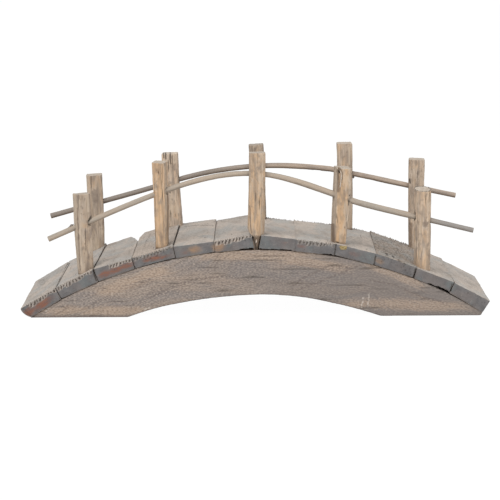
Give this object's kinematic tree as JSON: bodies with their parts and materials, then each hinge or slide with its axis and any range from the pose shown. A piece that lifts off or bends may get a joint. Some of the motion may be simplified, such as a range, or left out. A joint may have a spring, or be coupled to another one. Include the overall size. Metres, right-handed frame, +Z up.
{
  "type": "model moon bridge",
  "caption": "Miniature arched timber footbridge: sawn arch stringers, flat deck boards, split posts and bent cane handrails threaded through them",
  "frame": {"origin": "on the ground under the middle of the deck, at the centre of the bounding box's underside", "axes": "+X along the bridge to the right as seen from the front, -Y the front, +Z up"},
  "size_m": [0.5036, 0.144, 0.176],
  "materials": {
    "arch_wood": "sawn softwood, grey-brown and stained, dry",
    "deck_wood": "rough-sawn softwood boards, pale weathered grey, unfinished",
    "post_wood": "split softwood, tan with grey weathering, unfinished",
    "rail_cane": "peeled cane, pale tan, dry"
  },
  "bodies": {
    "root": {"front_stringer": "arch_wood", "rear_stringer": "arch_wood", "deck_board_01": "deck_wood", "deck_board_02": "deck_wood", "deck_board_03": "deck_wood", "deck_board_04": "deck_wood", "deck_board_05": "deck_wood", "deck_board_06": "deck_wood", "deck_board_07": "deck_wood", "deck_board_08": "deck_wood", "deck_board_09": "deck_wood", "deck_board_10": "deck_wood", "deck_board_11": "deck_wood", "deck_board_12": "deck_wood", "front_post_1": "post_wood", "front_post_2": "post_wood", "front_post_3": "post_wood", "front_post_4": "post_wood", "front_post_5": "post_wood", "rear_post_1": "post_wood", "rear_post_2": "post_wood", "rear_post_3": "post_wood", "rear_post_4": "post_wood", "rear_post_5": "post_wood", "front_rail": "rail_cane", "rear_rail": "rail_cane"}
  },
  "joints": []
}
